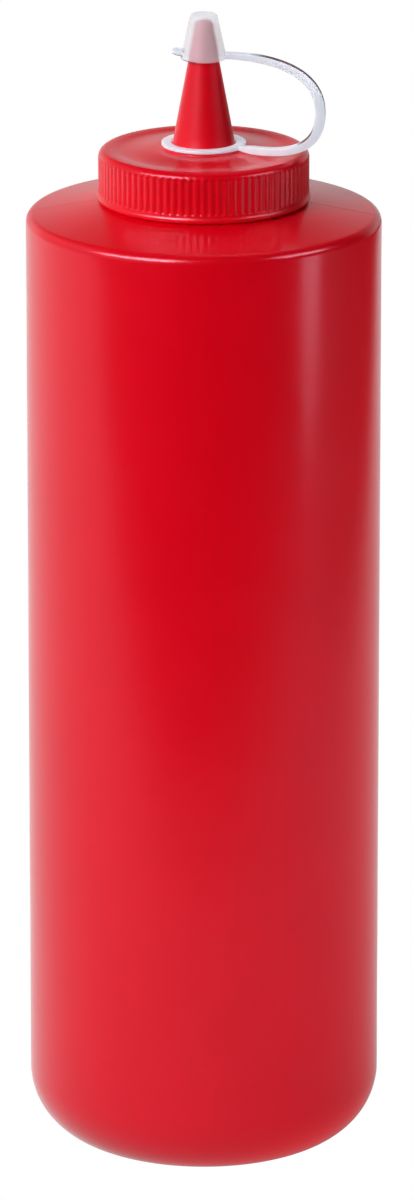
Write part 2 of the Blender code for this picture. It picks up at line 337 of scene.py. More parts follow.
@dataclass(frozen=True)
class MilkyPolyethylene:
    """Unpigmented low-density polyethylene, injection-moulded thin. It looks like milky glass with
    a waxy sheen: each skin of it hides a share of what is behind, which its alpha gives. A faint
    painted glow stands in for light scattered through it, and where the mesh's own attribute says,
    a mauve painted shade darkens the edges that turn away from the light."""

    name: str
    colour: str
    cloud_colour: str
    alpha: float
    scatter: float
    painted_glow_strength: float
    specular: float = 0.5
    roughness: float = 0.34
    scatter_mm: float = 1.5
    cloud_mm: float = 2.4
    wax_mm: float = 0.7
    wax_height_mm: float = 0.012
    ior: float = 1.51
    painted_glow_tint: str = "#E4ECFF"
    painted_shade_colour: str = ""

    def material(self) -> bpy.types.Material:
        """Builds the material: faint clouds of milkiness, a waxy surface, a painted glow and any painted
        edge shade.

        Returns:
            The node material.
        """
        material, output, place = new_material(self.name)
        tree = material.node_tree
        noise = []
        for size in (self.cloud_mm, self.wax_mm):
            settings = {"Scale": 1 / (size * MM), "Detail": 3.0}
            noise.append(add_node(tree, "ShaderNodeTexNoise", settings, {"Vector": place}).outputs["Fac"])
        tones = {"data_type": "RGBA", 6: linear(self.colour), 7: linear(self.cloud_colour)}
        skin = add_node(tree, "ShaderNodeMix", tones, {0: noise[0]}).outputs[2]
        # Painted shade: the attribute mixes a dark mauve into the skin's colour where edges turn from the
        # light.
        if self.painted_shade_colour:
            edges = add_node(tree, "ShaderNodeAttribute", {"attribute_name": PAINTED_SHADE_ATTRIBUTE}, {})
            shaded = {"data_type": "RGBA", 7: linear(self.painted_shade_colour)}
            skin = add_node(tree, "ShaderNodeMix", shaded, {0: edges.outputs["Fac"], 6: skin}).outputs[2]
        wax = {"Strength": 1.0, "Distance": self.wax_height_mm * MM}
        relief = add_node(tree, "ShaderNodeBump", wax, {"Height": noise[1]})
        # The emission is a painted glow, standing in for light scattered through the plastic.
        settings = {
            "IOR": self.ior,
            "Roughness": self.roughness,
            "Specular IOR Level": self.specular,
            "Alpha": self.alpha,
            "Emission Color": linear(self.painted_glow_tint),
            "Emission Strength": self.painted_glow_strength,
            "Subsurface Weight": self.scatter,
            "Subsurface Radius": (1.0, 1.0, 1.0),
            "Subsurface Scale": self.scatter_mm * MM,
        }
        links = {"Base Color": skin, "Normal": relief.outputs["Normal"]}
        shader = add_node(tree, "ShaderNodeBsdfPrincipled", settings, links)
        tree.links.new(shader.outputs[0], output.inputs["Surface"])
        return material


# Extrusion blow-moulding leaves slow ripples in the wall and the fine grain of the blasted mould.
BOTTLE_FINISH = RedPolyethylene(
    name="red_ldpe_blow_moulded",
    colour="#F8021E",
    deep_colour="#F2011A",
    roughness=0.20,
    roughness_spread=0.015,
    grain_mm=0.45,
    grain_height_mm=0.002,
    ripple_mm=7.0,
    ripple_height_mm=0.025,
)
# Injection moulding gives the cap a tighter, slightly shinier skin with little ripple.
CAP_FINISH = RedPolyethylene(
    name="red_ldpe_injection_moulded",
    colour="#F8021E",
    deep_colour="#F2011A",
    roughness=0.20,
    roughness_spread=0.015,
    grain_mm=0.35,
    grain_height_mm=0.0015,
    ripple_mm=4.0,
    ripple_height_mm=0.010,
    polished_at=0.2038,
    matt_roughness=0.29,
    specular=0.4,
)
# The thin cone lets the nozzle show through, as tinted by its two skins of milky plastic; a faint painted
# glow lightens it.
TIP_WALL_FINISH = MilkyPolyethylene("milky_ldpe_thin_wall", "#ECEFF8", "#F0F3FB", 0.34, 0.0, 0.09)
# The thicker strap and ring look nearly solid, and light that runs along inside them evens them out; a
# painted glow lifts them further.
STRAP_FINISH = MilkyPolyethylene("milky_ldpe_thick_strap", "#D2D7DB", "#D7DBDF", 0.94, 0.5, 0.30, 0.3)
# These edge faces are dull, and a thin dark mauve line is painted on them as painted shade where they turn
# from the light.
PAINTED_SHADE_FINISH = MilkyPolyethylene(
    "milky_ldpe_dull_edge_painted_shade", "#ECF3FB", "#F0F6FC", 0.94, 0.0, 0.0, 0.0, painted_shade_colour="#8A646B"
)


@dataclass
class Piece:
    """What every piece of the bottle shares: its name, the node it stands for and its slot."""

    name: str
    node: str
    slot: str

    def settle(self, obj: bpy.types.Object) -> bpy.types.Object:
        """Puts a finished object on the body, in the place of its solid.

        Args:
            obj: The finished object.

        Returns:
            The same object.
        """
        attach(obj, "root")
        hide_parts(self.node)
        LOG.info("%s: %d vertices, %d faces", obj.name, len(obj.data.vertices), len(obj.data.polygons))
        return obj


@dataclass
class BottleBody(Piece):
    """The blow-moulded bottle, from its pushed-up base to the neck inside the cap."""

    radius: float = 0.035
    side_top: float = 0.1894
    shoulder_round: float = 0.0019
    shoulder_slope: float = 10.5
    heel_round: float = 0.0138
    foot_inner: float = 0.0165
    push_up_radius: float = 0.0135
    push_up_height: float = 0.0015
    neck_radius: float = 0.0185
    neck_top: float = 0.2000
    parting_azimuth: float = -3.0
    parting_height: float = 0.00003
    parting_half_width: float = 0.00045
    pinch_height: float = 0.0004
    pinch_half_width: float = 0.0006
    pinch_reach: float = 0.0115
    ripple_height: float = 0.00005
    ripple_rise: tuple[float, float] = (0.006, 0.03)
    ripple_end: tuple[float, float] = (0.180, 0.1885)

    def shoulder_z(self, radius: float) -> float:
        """Height of the shoulder's cone at a radius."""
        slope = math.radians(self.shoulder_slope)
        joint_r = self.radius - self.shoulder_round * (1 - math.sin(slope))
        joint_z = self.side_top + self.shoulder_round * math.cos(slope)
        return joint_z + (joint_r - radius) * math.tan(slope)

    def profile(self) -> Array:
        """The outline from the base's centre, round the heel and shoulder, to the neck's top.

        Returns:
            Points of (radius, height). The step down from the push-up to the foot is half a
            cosine wave, the heel and the shoulder's edge are circle arcs.
        """
        step_r = np.linspace(self.push_up_radius, self.foot_inner, 9)
        share = (step_r - self.push_up_radius) / (self.foot_inner - self.push_up_radius)
        step_z = self.push_up_height * (0.5 + 0.5 * np.cos(np.pi * share))
        heel_r = self.radius - self.heel_round
        slope_angle = 90 - self.shoulder_slope
        edge_r = self.radius - self.shoulder_round
        edge = arc((edge_r, self.side_top), self.shoulder_round, 0, slope_angle, 16)
        neck_foot = (self.neck_radius, self.shoulder_z(self.neck_radius))
        neck_head = (self.neck_radius, self.neck_top)
        return np.vstack(
            (
                [(0.0, self.push_up_height)],
                line((0.0, self.push_up_height), (self.push_up_radius, self.push_up_height), 26),
                np.column_stack((step_r, step_z)),
                line((self.foot_inner, 0.0), (heel_r, 0.0), 5),
                arc((heel_r, self.heel_round), self.heel_round, -90, 0, 26),
                line((self.radius, self.heel_round), (self.radius, self.side_top), 58),
                edge,
                line(edge[-1], neck_foot, 16),
                [neck_foot],
                line(neck_foot, neck_head, 3),
                [neck_head],
                line(neck_head, (0.0, self.neck_top), 2),
                [(0.0, self.neck_top)],
            )
        )

    def azimuths(self) -> Array:
        """Column angles: even ones, and close ones on both sides of the mould's parting plane."""
        even = np.arange(0, 360, 1.5)
        close = np.arange(-2.2, 2.21, 0.2)
        halves = [close + self.parting_azimuth, close + self.parting_azimuth + 180]
        return np.radians(np.unique(np.round(np.concatenate((even, *halves)) % 360, 3)))

    def relief(self, profile: Array, azimuths: Array) -> Array:
        """How far each point stands off the plain turned surface, never outwards.

        The wall ripples by products of slow sines of height and azimuth, whose wave numbers and
        phases are arbitrary, brought to between -1 and 0. The parting line is a
        Gaussian ridge of the distance r sin(a) from the mould's parting plane, and the pinch-off
        across the base is a wider one that ends short of the foot.

        Args:
            profile: Points of (radius, height).
            azimuths: Column angles in radians.

        Returns:
            Distances along the profile's normal, rows by columns.
        """
        r, z = profile[:, :1], profile[:, 1:]
        off_plane = r * np.sin(azimuths - math.radians(self.parting_azimuth))
        outer = smooth(r, self.foot_inner, self.radius - self.heel_round)
        ridge = self.parting_height * np.exp(-((off_plane / self.parting_half_width) ** 2))
        wave = np.sin(2 * azimuths + 70 * z + 0.7) * np.sin(118 * z - azimuths + 0.4)
        wave += 0.6 * np.sin(5 * azimuths - 45 * z) * np.sin(205 * z + 1.9)
        wall = smooth(z, *self.ripple_rise) * (1 - smooth(z, *self.ripple_end))
        ripple = self.ripple_height * wall * (wave / 3.2 - 0.5)
        inset = -self.parting_height * outer * smooth(z, 0.0, 0.004)
        pinch = self.pinch_height * np.exp(-((off_plane / self.pinch_half_width) ** 2))
        across = 1 - smooth(r, self.pinch_reach - 0.002, self.pinch_reach)
        base = (z < self.push_up_height * 1.01) & (r < self.push_up_radius)
        return ripple + inset + ridge * outer * smooth(z, 0.0, 0.004) + pinch * across * base

    def build(self) -> bpy.types.Object:
        """Builds, dresses and places the bottle.

        Returns:
            The bottle's object.
        """
        profile = self.profile()
        azimuths = self.azimuths()
        normals = profile_normals(profile)
        relief = self.relief(profile, azimuths)
        radii = profile[:, :1] + relief * normals[:, :1]
        heights = profile[:, 1:] + relief * normals[:, 1:]
        body = capped_lathe(self.name, lathe_points(radii, heights, azimuths))
        body.data.materials.append(BOTTLE_FINISH.material())
        return self.settle(body)


@dataclass
class ScrewCap(Piece):
    """The screw cap: ribbed skirt with a foot bead, dished top, boss and tapered nozzle."""

    radius: float = 0.02075
    top: float = 0.2040
    edge_round: float = 0.0016
    bore_radius: float = 0.0188
    bore_top: float = 0.2003
    dish_depth: float = 0.00026
    dish_radius: float = 0.0158
    dish_step: float = 0.0030
    bead_radius: float = 0.02095
    bead_round: float = 0.0007
    rib_count: int = 88
    columns_per_rib: int = 10
    rib_depth: float = 0.00018
    crest_cut: float = 0.00002
    rib_foot: float = 0.1954
    rib_run_out: float = 0.0005
    rib_foot_rows: tuple[float, float] = (0.0001, 0.0006)
    boss_radius: float = 0.0081
    boss_top: float = 0.2045
    boss_round: float = 0.0002
    nozzle_foot_radius: float = 0.00626
    nozzle_tip: float = 0.2296
    nozzle_taper: float = 0.1873
    nozzle_round: float = 0.0008
    nozzle_fillet: float = 0.0004
    crest_softness: float = 0.00006

    def outline(self, bottle: BottleBody) -> tuple[Array, Array]:
        """The outline from the bore's roof, round the skirt and over the top, to the nozzle's tip.

        Args:
            bottle: The bottle, whose shoulder the cap's foot follows.

        Returns:
            Points of (radius, height), and a mask of the rows that carry ribs.
        """
        bead_r = self.bead_radius - self.bead_round
        bead_z = bottle.shoulder_z(self.bead_radius) + GAP + self.bead_round
        foot_z = bottle.shoulder_z(self.bore_radius) + GAP
        bead = arc((bead_r, bead_z), self.bead_round, -60, 40, 10)
        skirt_foot = (self.radius, bead_z + self.bead_round)
        edge_foot = (self.radius, self.top - self.edge_round)
        edge = arc((self.radius - self.edge_round, edge_foot[1]), self.edge_round, 0, 90, 16)
        low_z = np.linspace(self.rib_foot - self.rib_foot_rows[0], self.rib_foot + self.rib_foot_rows[1], 6)
        low_skirt = np.column_stack((np.full(6, self.radius), low_z))
        dish_z = self.top - self.dish_depth
        step_r = np.linspace(self.dish_radius + self.dish_step, self.dish_radius, 7)
        share = (step_r - self.dish_radius) / self.dish_step
        step_z = dish_z + self.dish_depth * (0.5 - 0.5 * np.cos(np.pi * share))
        rise_r = np.linspace(self.dish_radius, self.boss_radius, 25)[1:]
        rise_share = (self.dish_radius - rise_r) / (self.dish_radius - self.boss_radius)
        rise_top = self.boss_top - self.boss_round
        rise_z = dish_z + (rise_top - dish_z) * (0.5 - 0.5 * np.cos(np.pi * rise_share))
        boss = arc((self.boss_radius - self.boss_round, rise_top), self.boss_round, 0, 90, 5)
        lean = math.degrees(math.atan(self.nozzle_taper))
        foot = self.nozzle_fillet
        foot_r = self.nozzle_foot_radius + foot * math.tan(math.radians(90 - lean) / 2)
        nozzle_foot = arc((foot_r, self.boss_top + foot), foot, 270, 180 + lean, 5)
        tip_z = self.nozzle_tip - self.nozzle_round
        rim = self.nozzle_foot_radius - self.nozzle_taper * (tip_z - self.boss_top)
        tip_r = rim - self.nozzle_round / math.cos(math.radians(lean))
        tip = arc((tip_r, tip_z), self.nozzle_round, lean, 90, 9)
        bore = [(0.0, self.bore_top), (self.bore_radius / 2, self.bore_top)]
        bore += [(self.bore_radius, self.bore_top), (self.bore_radius, foot_z)]
        plain_low = np.vstack((bore, bead, [skirt_foot]))
        ribbed = np.vstack((low_skirt, line(low_skirt[-1], edge_foot, 8), edge))
        plain_high = np.vstack(
            (
                line(edge[-1], (step_r[0], self.top), 1),
                np.column_stack((step_r, step_z)),
                np.column_stack((rise_r, rise_z)),
                boss,
                line(boss[-1], nozzle_foot[0], 1),
                nozzle_foot,
                line(nozzle_foot[-1], tip[0], 9),
                tip,
                [(0.0, self.nozzle_tip)],
            )
        )
        counts = (len(plain_low), len(ribbed), len(plain_high))
        mask = np.repeat((False, True, False), counts)
        return np.vstack((plain_low, ribbed, plain_high)), mask

    def rib_radius(self, heights: Array, azimuths: Array) -> Array:
        """The wavy cylinder that the skirt is kept inside.

        Its radius is the skirt's, less the depth times a raised cosine of the azimuth that has one
        wave to a rib. At the ribs' foot the valleys run out into the plain skirt.

        Args:
            heights: Heights of the rows, rows by 1.
            azimuths: Column angles in radians.

        Returns:
            Radii, rows by columns.
        """
        valley = 0.5 - 0.5 * np.cos(self.rib_count * azimuths)
        run_out = smooth(heights, self.rib_foot, self.rib_foot + self.rib_run_out)
        return self.radius + self.crest_cut - (self.rib_depth + self.crest_cut) * valley * run_out

    def build(self, bottle: BottleBody) -> bpy.types.Object:
        """Builds, dresses and places the cap.

        The ribs are a soft minimum of the plain outline and the wavy cylinder: half of their sum,
        less half of the root of their difference squared plus the softness squared.

        Args:
            bottle: The bottle that it is screwed on.

        Returns:
            The cap's object.
        """
        profile, ribbed = self.outline(bottle)
        columns = self.rib_count * self.columns_per_rib
        azimuths = even_azimuths(columns)
        radii = np.repeat(profile[:, :1], columns, axis=1)
        heights = np.repeat(profile[:, 1:], columns, axis=1)
        plain = radii[ribbed]
        wavy = self.rib_radius(profile[ribbed, 1:], azimuths)
        spread = np.sqrt((plain - wavy) ** 2 + self.crest_softness**2)
        radii[ribbed] = 0.5 * (plain + wavy - spread)
        cap = capped_lathe(self.name, lathe_points(radii, heights, azimuths))
        cap.data.materials.append(CAP_FINISH.material())
        return self.settle(cap)


@dataclass
class TipCap(Piece):
    """The milky tip cap with its lip and lift tab, the strap and the ring, in one moulding."""

    top: float = 0.2311
    top_radius: float = 0.0028
    top_round: float = 0.0008
    mouth: float = 0.22215
    wall_foot_radius: float = 0.00438
    lip_radius: float = 0.00452
    lip_height: float = 0.0007
    lip_round: float = 0.0002
    lip_crease: float = 0.0001
    tab_reach: float = 0.0064
    tab_width: float = 0.0036
    tab_thickness: float = 0.0009
    tab_ease: float = 0.0003
    tab_azimuth: float = 170.0
    tab_lift: float = 8.0
    tab_root: float = 0.85
    ring_inner: float = 0.00638
    ring_outer: float = 0.0083
    ring_thickness: float = 0.0007
    ring_ease: float = 0.00022
    strap_depth: float = 0.0017
    strap_thickness: float = 0.0015
    bow_thickness: float = 0.0020
    mouth_thickness: float = 0.0012
    strap_azimuth: float = -30.0
    strap_root: float = 0.88
    ring_blend: float = 0.055
    lip_blend: float = 0.15
    bow: tuple[float, float, float] = (0.02275, -0.0070, 0.2129)
    ring_handle: tuple[float, float, float] = (0.0111, -0.0051, -0.0010)
    low_handle: tuple[float, float, float] = (0.0, -0.0011, -0.0068)
    high_handle: tuple[float, float, float] = (0.0, 0.0008, 0.0079)
    mouth_handle: tuple[float, float, float] = (0.0100, -0.0010, 0.0)
    edge: float = 0.00018
    # Where painted shade darkens the strap, tab and lip edges.
    dark_bow: tuple[float, float] = (0.45, 0.52)
    dark_near_lip: tuple[float, float] = (0.0088, 0.0128)
    dark_foot: tuple[float, float, float, float] = (0.23, 0.29, 0.35, 0.44)
    dark_least: float = 0.01
    near_strap: float = 0.0020
    facing_least: float = 0.6
    shade_left: float = 0.0015
    shade_below: float = 0.001
    shade_band: float = 0.00017
    shade_facing: float = 0.3

    def cone(self, cap: ScrewCap) -> bpy.types.Object:
        """The hollow cone: a closed profile from the roof's middle, out, down and up its bore.

        Args:
            cap: The screw cap, whose nozzle the bore follows with a small gap.

        Returns:
            The cone's object.
        """

        def nozzle(z: float) -> float:
            """Radius of the nozzle at a height."""
            return cap.nozzle_foot_radius - cap.nozzle_taper * (z - cap.boss_top)

        knee_z = cap.nozzle_tip - cap.nozzle_round / 2
        knee_r = nozzle(knee_z) + GAP
        roof = (knee_r - cap.nozzle_round * 0.8, cap.nozzle_tip + GAP)
        lip_top = self.mouth + self.lip_height
        soft, crease = self.lip_round, self.lip_crease
        lip = arc((self.lip_radius - soft, self.mouth + soft), soft, -90, 0, 4)
        lip_edge = arc((self.lip_radius - crease, lip_top - crease), crease, 0, 90, 3)
        crown_centre = (self.top_radius - self.top_round, self.top - self.top_round)
        crown = arc(crown_centre, self.top_round, 12, 90, 10)
        wall_foot = (self.wall_foot_radius, lip_top)
        bore_foot = (nozzle(self.mouth) + GAP, self.mouth)
        profile = np.vstack(
            (
                [(0.0, roof[1])],
                line((0.0, roof[1]), roof, 1),
                [roof, (knee_r, knee_z)],
                line((knee_r, knee_z), bore_foot, 8),
                [bore_foot],
                lip,
                lip_edge,
                [wall_foot],
                line(wall_foot, crown[0], 8),
                crown,
                line(crown[-1], (0.0, self.top), 2),
                [(0.0, self.top)],
            )
        )
        return capped_lathe(self.name, turned(profile, 96))

    def ring(self, cap: ScrewCap) -> bpy.types.Object:
        """The flat ring on the boss: a rounded rectangle turned about the axis."""
        low = cap.boss_top + GAP
        half_width = (self.ring_outer - self.ring_inner) / 2
        middle = (self.ring_outer + self.ring_inner) / 2
        section = rounded_section(half_width, self.ring_thickness / 2, self.ring_ease, 4)
        return ring_lathe("ring", turned(section + (middle, low + self.ring_thickness / 2), 120))

    def tab(self) -> bpy.types.Object:
        """The lift tab: a round-ended outline, drawn in towards its top and bottom to ease its edge.

        Returns:
            The tab's object, turned and lifted into its place in its mesh.
        """
        half = self.tab_width / 2
        turn = np.radians(np.linspace(-90, 90, 9))
        inset = self.tab_ease * (1 - np.cos(turn))
        layer = np.sin(turn) * self.tab_ease
        layer += np.sign(layer) * (self.tab_thickness / 2 - self.tab_ease)
        round_end = np.radians(np.linspace(-90, 90, 25))
        reach = half - inset[:, None]
        x = self.tab_reach - half + reach * np.cos(round_end)
        y = reach * np.sin(round_end)
        root = np.full((len(inset), 1), self.lip_radius * self.tab_root)
        x = np.hstack((x, root, root))
        y = np.hstack((y, reach, -reach))
        z = np.repeat(layer[:, None], x.shape[1], axis=1)
        lift, round_axis = math.radians(self.tab_lift), math.radians(self.tab_azimuth)
        out = x * math.cos(lift) - z * math.sin(lift)
        up = x * math.sin(lift) + z * math.cos(lift)
        placed = (
            out * math.cos(round_axis) - y * math.sin(round_axis),
            out * math.sin(round_axis) + y * math.cos(round_axis),
            up + self.mouth + self.tab_thickness / 2,
        )
        return tube("tab", np.stack(placed, axis=-1))

    def strap_line(self, cap: ScrewCap) -> tuple[Array, Array]:
        """The strap's centre line: two cubic Bezier curves that meet at the bow.

        Args:
            cap: The screw cap, whose boss carries the ring.

        Returns:
            Points and unit tangents along the line, each stations by 3.
        """
        angle = math.radians(self.strap_azimuth)
        middle = (self.ring_inner + self.ring_outer) / 2
        start_z = cap.boss_top + GAP + self.ring_thickness / 2
        start = np.array((middle * math.cos(angle), middle * math.sin(angle), start_z))
        end_z = self.mouth + self.mouth_thickness / 2
        end = np.array((self.lip_radius * self.strap_root, 0.0, end_z))
        bow = np.array(self.bow)
        low = (start, start + self.ring_handle, bow + self.low_handle, bow)
        high = (bow, bow + self.high_handle, end + self.mouth_handle, end)
        points, ways = zip(bezier(low, 40), bezier(high, 40))
        tangents = np.vstack((ways[0], ways[1][1:]))
        tangents /= np.linalg.norm(tangents, axis=1, keepdims=True)
        return np.vstack((points[0], points[1][1:])), tangents

    def strap(self, cap: ScrewCap) -> bpy.types.Object:
        """The strap: a rounded rectangle carried along its line, facing the front.

        Its thickness grows from the ring's to the bow's by smooth steps and a sine to the fourth.

        Args:
            cap: The screw cap, whose boss carries the ring.

        Returns:
            The strap's object.
        """
        points, tangents = self.strap_line(cap)
        share = np.linspace(0, 1, len(points))
        bow = np.sin(np.pi * share) ** 4
        full = self.strap_thickness + (self.bow_thickness - self.strap_thickness) * bow
        full += (self.ring_thickness - full) * (1 - smooth(share, 0.0, self.ring_blend))
        full += (self.mouth_thickness - full) * (1 - smooth(1 - share, 0.0, self.lip_blend))
        inward = np.cross((0.0, -1.0, 0.0), tangents)
        inward /= np.linalg.norm(inward, axis=1, keepdims=True)
        front = np.cross(tangents, inward)
        section = rounded_section(0.5, 0.5, 0.0, 4)
        corner = np.sign(section) * 0.5
        ease = rounded_section(self.edge, self.edge, self.edge, 4)
        size = np.stack((full, np.full_like(full, self.strap_depth)), axis=-1)
        flat = corner[None] * (size[:, None] - 2 * self.edge) + ease[None]
        placed = points[:, None] + flat[..., :1] * inward[:, None] + flat[..., 1:] * front[:, None]
        return tube("strap", placed)

    def paint_shade_on_edges(self, mesh: bpy.types.Mesh, cap: ScrewCap) -> None:
        """Gives the edges that get painted shade their own dull finish, and writes how dark the painted
        shade is at each point.

        Points and faces are matched to the nearest station of the strap's line. Products of smooth
        steps pick the bow's outer side and a short stretch of its inner side near the ring. The
        lower edges of the tab and of the left of the lip, under which shade falls, get painted shade too.

        Args:
            mesh: The joined mesh.
            cap: The screw cap that carries it.
        """
        count = len(mesh.polygons)
        places = np.empty(3 * len(mesh.vertices))
        centres, normals = np.empty(3 * count), np.empty(3 * count)
        mesh.vertices.foreach_get("co", places)
        mesh.polygons.foreach_get("center", centres)
        mesh.polygons.foreach_get("normal", normals)
        places, centres, normals = (flat.reshape(-1, 3) for flat in (places, centres, normals))
        points, tangents = self.strap_line(cap)

        def along(where: Array) -> tuple[Array, Array, Array]:
            """The nearest station, how far off it is, and its share of the way."""
            away = np.linalg.norm(where[:, None] - points, axis=2)
            station = away.argmin(axis=1)
            return station, away.min(axis=1), station / (len(points) - 1)

        def outside(where: Array, share: Array) -> Array:
            """How dark the painted shade on the outer side is: all of the bow above its middle, fading near
            the lip.
            """
            return smooth(share, *self.dark_bow) * smooth(where[:, 0], *self.dark_near_lip)

        def inside(share: Array) -> Array:
            """How dark the painted shade on the inner side is, over a short stretch above the ring."""
            start, full, fading, end = self.dark_foot
            return smooth(share, start, full) * smooth(share, end, fading)

        station, off, share = along(centres)
        inward = np.cross((0.0, -1.0, 0.0), tangents[station])
        facing = (normals * inward).sum(axis=1) * (off < self.near_strap)
        left = (centres[:, 0] < -self.shade_left) & (centres[:, 2] > self.mouth - self.shade_below)
        radius = np.hypot(centres[:, 0], centres[:, 1])
        below = left & (normals[:, 2] < -self.shade_facing) & (radius > self.lip_radius)
        lip = left & (radius > self.lip_radius - self.shade_band)
        lip &= (centres[:, 2] < self.mouth + self.shade_band) & (centres[:, 1] < self.shade_left)
        # Faces that get painted shade: the bow's outer side, the strap's foot, and the lower edges of the
        # tab and lip.
        bow = (facing < -self.facing_least) & (outside(centres, share) > self.dark_least)
        foot = (facing > self.facing_least) & (inside(share) > self.dark_least)
        slots = np.empty(count, dtype=np.int32)
        mesh.polygons.foreach_get("material_index", slots)
        slots[below | lip | bow | foot] = len(mesh.materials)
        mesh.materials.append(PAINTED_SHADE_FINISH.material())
        mesh.polygons.foreach_set("material_index", slots)
        _, _, share = along(places)
        # Painted shade: full on the left of the axis, elsewhere by the smooth steps along the strap.
        shade = np.where(places[:, 0] < 0, 1.0, np.clip(outside(places, share) + inside(share), 0, 1))
        mesh.attributes.new(PAINTED_SHADE_ATTRIBUTE, "FLOAT", "POINT").data.foreach_set("value", shade)

    def build(self, cap: ScrewCap) -> bpy.types.Object:
        """Builds the moulding's parts, joins them into one closed skin, dresses and places it.

        Args:
            cap: The screw cap that carries it.

        Returns:
            The tip cap's object.
        """
        cone = self.cone(cap)
        cone.data.materials.append(TIP_WALL_FINISH.material())
        strap_material = STRAP_FINISH.material()
        joined = bpy.data.collections.new("tip_cap_parts")
        bpy.context.scene.collection.children.link(joined)
        for part in (self.ring(cap), self.tab(), self.strap(cap)):
            bpy.context.scene.collection.objects.unlink(part)
            joined.objects.link(part)
            part.data.materials.append(strap_material)
        union = cone.modifiers.new("join", "BOOLEAN")
        union.operation = "UNION"
        union.solver = "EXACT"
        union.operand_type = "COLLECTION"
        union.collection = joined
        union.material_mode = "TRANSFER"
        bpy.context.view_layer.update()
        evaluated = cone.evaluated_get(bpy.context.evaluated_depsgraph_get())
        mesh = bpy.data.meshes.new_from_object(evaluated)
        cone.modifiers.clear()
        cone.data = mesh
        for part in list(joined.objects):
            bpy.data.objects.remove(part, do_unlink=True)
        bpy.data.collections.remove(joined)
        mesh.shade_smooth()
        mesh.set_sharp_from_angle(angle=FOLD)
        self.paint_shade_on_edges(mesh, cap)
        return self.settle(cone)


def rounded_section(half_width: float, half_height: float, ease: float, steps: int) -> Array:
    """A rectangle with round corners, as a closed loop that runs anticlockwise.

    Args:
        half_width: Half of its width.
        half_height: Half of its height.
        ease: Radius of its corners.
        steps: Points on each corner.

    Returns:
        Points, 4 times steps by 2.
    """
    turns = np.radians(np.linspace(0, 90, steps))
    quarters = np.concatenate([turns + math.pi / 2 * i for i in range(4)])
    signs = np.repeat(((1, 1), (-1, 1), (-1, -1), (1, -1)), steps, axis=0)
    middle = signs * (half_width - ease, half_height - ease)
    return middle + ease * np.column_stack((np.cos(quarters), np.sin(quarters)))


def bezier(points: Sequence[Array], count: int) -> tuple[Array, Array]:
    """A cubic Bezier curve: its four points weighted by the cubic Bernstein polynomials.

    Args:
        points: The two ends and, between them, the two handles.
        count: Number of stations.

    Returns:
        Points and directions along the curve, each count by 3.
    """
    t = np.linspace(0, 1, count)[:, None]
    s = 1 - t
    p0, p1, p2, p3 = points
    place = p0 * s**3 + p1 * (3 * s * s * t) + p2 * (3 * s * t * t) + p3 * t**3
    way = (p1 - p0) * (s * s) + (p2 - p1) * (2 * s * t) + (p3 - p2) * (t * t)
    return place, way


@dataclass(frozen=True)
class TableLight:
    """The light that comes back off the table: a level, and how it leans towards the right and the
    back. It fades out between two values of y in front and of x on the right, and close to the
    bottle only the near share of it is left."""

    name: str
    level: float
    lean: tuple[float, float]
    front: tuple[float, float]
    right: tuple[float, float]
    near: float
    seen_by: SeenBy


@dataclass(frozen=True)
class UprightCard:
    """A glowing upright card that faces the bottle: how far round from the front it stands, half of
    its width, the heights of its corners and its strength, which fades out between two heights."""

    name: str
    azimuth: float
    half_width: float
    heights: tuple[float, float, float, float]
    strength: float
    fade: tuple[float, float]
    seen_by: SeenBy
    distance: float = 0.30


@dataclass(frozen=True)
class Softbox:
    """A soft area light: degrees round from the front and above the aim's level, metres from the
    aim, width and height of its face, the brightness of that face, and what it shows in."""

    name: str
    azimuth: float
    elevation: float
    distance: float
    size: tuple[float, float]
    radiance: float
    seen_by: SeenBy


@dataclass(frozen=True)
class RoomLobe:
    """A pale side of the room: the direction's part that it depends on, and the smooth steps of
    that part and of its height, with the strength at the end of the height's first step."""

    side: str
    across: tuple[float, float]
    below: tuple[float, float]
    above: tuple[float, float]
    strength: float


